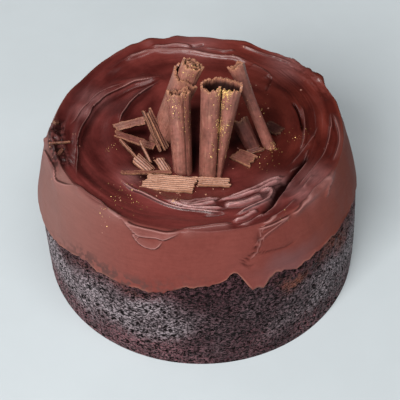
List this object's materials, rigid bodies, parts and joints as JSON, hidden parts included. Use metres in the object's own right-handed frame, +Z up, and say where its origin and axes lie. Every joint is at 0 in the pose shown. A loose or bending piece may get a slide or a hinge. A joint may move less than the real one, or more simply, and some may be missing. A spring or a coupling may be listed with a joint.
{
  "type": "chocolate fudge cake",
  "caption": "Round dark chocolate cake, its top and upper side spread with fudge icing in a knife swirl, with chocolate scrolls and flakes piled in the middle.",
  "frame": {"origin": "middle of the sponge's flat underside, on the surface that the cake stands on", "axes": "+Z up, -Y towards the front of the cake as pictured, +X to its right"},
  "size_m": [0.1804, 0.1803, 0.1332],
  "materials": {
    "sponge_crumb": "open dark crumb, moist, with small pores",
    "fudge_icing": "soft satin fudge, smoothed by a knife, glossy on the ridges",
    "shaved_chocolate": "satin chocolate with fine scraped ridges"
  },
  "bodies": {
    "root": {"sponge": "sponge_crumb", "icing": "fudge_icing", "scroll_front_left": "shaved_chocolate", "scroll_front_right": "shaved_chocolate", "scroll_back_left": "shaved_chocolate", "scroll_right": "shaved_chocolate", "scroll_right_small": "shaved_chocolate", "flake_front_large": "shaved_chocolate", "flake_front_small": "shaved_chocolate", "flake_left_long": "shaved_chocolate", "flake_left_upper": "shaved_chocolate", "flake_left_lower": "shaved_chocolate", "flake_left_stick": "shaved_chocolate", "flake_left_plank": "shaved_chocolate", "flake_left_sliver": "shaved_chocolate", "flake_left_splinter": "shaved_chocolate", "flake_left_ridged": "shaved_chocolate", "flake_left_curled": "shaved_chocolate", "flake_front_sliver": "shaved_chocolate", "flake_right_square": "shaved_chocolate", "flake_right_small": "shaved_chocolate", "flake_right_dark": "shaved_chocolate"}
  },
  "joints": []
}
